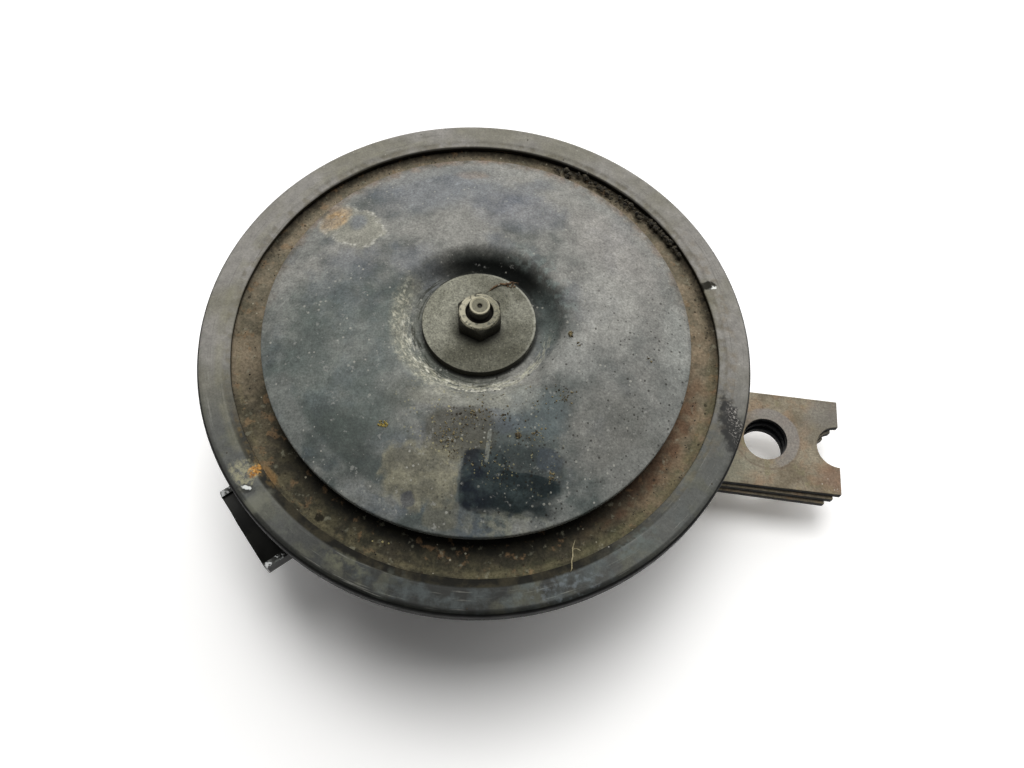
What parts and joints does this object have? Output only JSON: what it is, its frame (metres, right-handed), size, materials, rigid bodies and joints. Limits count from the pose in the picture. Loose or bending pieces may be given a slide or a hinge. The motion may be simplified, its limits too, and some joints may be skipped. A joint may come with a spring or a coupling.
{
  "type": "electric horn",
  "caption": "Round disc-type electric car horn with a domed resonator disc in a rolled clamp ring, a side connector and a laminated strip bracket behind.",
  "frame": {"origin": "centre of the free end of the rear M8 stud, the horn's lowest point as it lies on its back", "axes": "+Z along the horn's axis from the rear stud to the resonator disc; +X along the bracket at rest; +Y completes a right-handed frame"},
  "size_m": [0.1395, 0.11, 0.06],
  "materials": {
    "housing_paint": "black paint, dulled",
    "ring_paint": "black paint worn to olive grey, rust spots",
    "gasket_paper": "oiled paper",
    "diaphragm_rust": "rusty spring steel",
    "disc_paint": "blue-grey paint, mottled and dusty",
    "dusty_steel": "zinc plate under grey-brown dust",
    "plain_steel": "bare steel",
    "soft_iron": "turned soft iron",
    "bobbin_plastic": "natural moulded plastic",
    "copper_wire": "enamelled copper wire",
    "fibre_board": "vulcanised fibre",
    "spring_bronze": "spring bronze",
    "contact_metal": "tungsten contact",
    "screw_brass": "dull brass",
    "black_rubber": "matt rubber",
    "black_plastic": "moulded, scuffed along its edges",
    "terminal_brass": "tinned brass, tarnished",
    "lead_plastic": "varnished sleeving",
    "bracket_rust": "brown rust over spring steel, black cut edges",
    "plated_steel": "zinc plate, tarnished"
  },
  "bodies": {
    "horn": {"rear_housing": "housing_paint", "clamp_rim": "ring_paint", "front_gasket": "gasket_paper", "diaphragm": "diaphragm_rust", "rear_gasket": "gasket_paper", "core_stud": "soft_iron", "magnet_frame": "plain_steel", "frame_rivets": "plain_steel", "coil_bobbin": "bobbin_plastic", "coil_winding": "copper_wire", "lower_insulator": "fibre_board", "middle_insulator": "fibre_board", "fixed_arm": "spring_bronze", "fixed_contact": "contact_metal", "top_insulator": "fibre_board", "clamp_plate": "plain_steel", "breaker_rivets": "plain_steel", "adjuster_grommet": "black_rubber", "connector_shroud": "black_plastic", "connector_gasket": "black_rubber", "connector_rivets": "plain_steel", "left_terminal": "terminal_brass", "right_terminal": "terminal_brass", "supply_lead": "lead_plastic", "return_lead": "lead_plastic", "coil_lead": "lead_plastic", "lock_washer": "plated_steel", "stud_nut": "plated_steel"},
    "striker": {"resonator_disc": "disc_paint", "resonator_washer": "dusty_steel", "stem_nut": "dusty_steel", "stem": "dusty_steel", "spacer_bush": "plain_steel", "front_washer": "plain_steel", "rear_washer": "plain_steel", "armature": "soft_iron"},
    "breaker_tongue": {"moving_arm": "spring_bronze", "moving_contact": "contact_metal", "push_peg": "fibre_board"},
    "adjuster": {"adjusting_screw": "screw_brass"},
    "bracket": {"front_leaf": "bracket_rust", "middle_leaf": "bracket_rust", "rear_leaf": "bracket_rust"}
  },
  "joints": [
    {"name": "striker_stroke", "type": "slide", "parent": "horn", "child": "striker", "axis": [0, 0, 1], "range_m": [-0.0008, 0.0004], "stiffness_N_per_m": 30000, "deforming": ["diaphragm"]},
    {"name": "breaker_flex", "type": "hinge", "parent": "horn", "child": "breaker_tongue", "pos_m": [0, -0.0225, 0.0401], "axis": [1, 0, 0], "range_deg": [-3.8, 1.9], "deforming": ["moving_arm"]},
    {"name": "adjuster_turn", "type": "hinge", "parent": "horn", "child": "adjuster", "pos_m": [0.009, -0.0205, 0.0175], "axis": [0, 0, 1], "range_deg": [-180, 180]},
    {"name": "bracket_swivel", "type": "hinge", "parent": "horn", "child": "bracket", "pos_m": [0, 0, 0.01345], "axis": [0, 0, 1], "continuous": true}
  ],
  "couplings": [
    {"joint": "breaker_flex", "follows": "striker_stroke", "rad_per_m": 78.125}
  ]
}
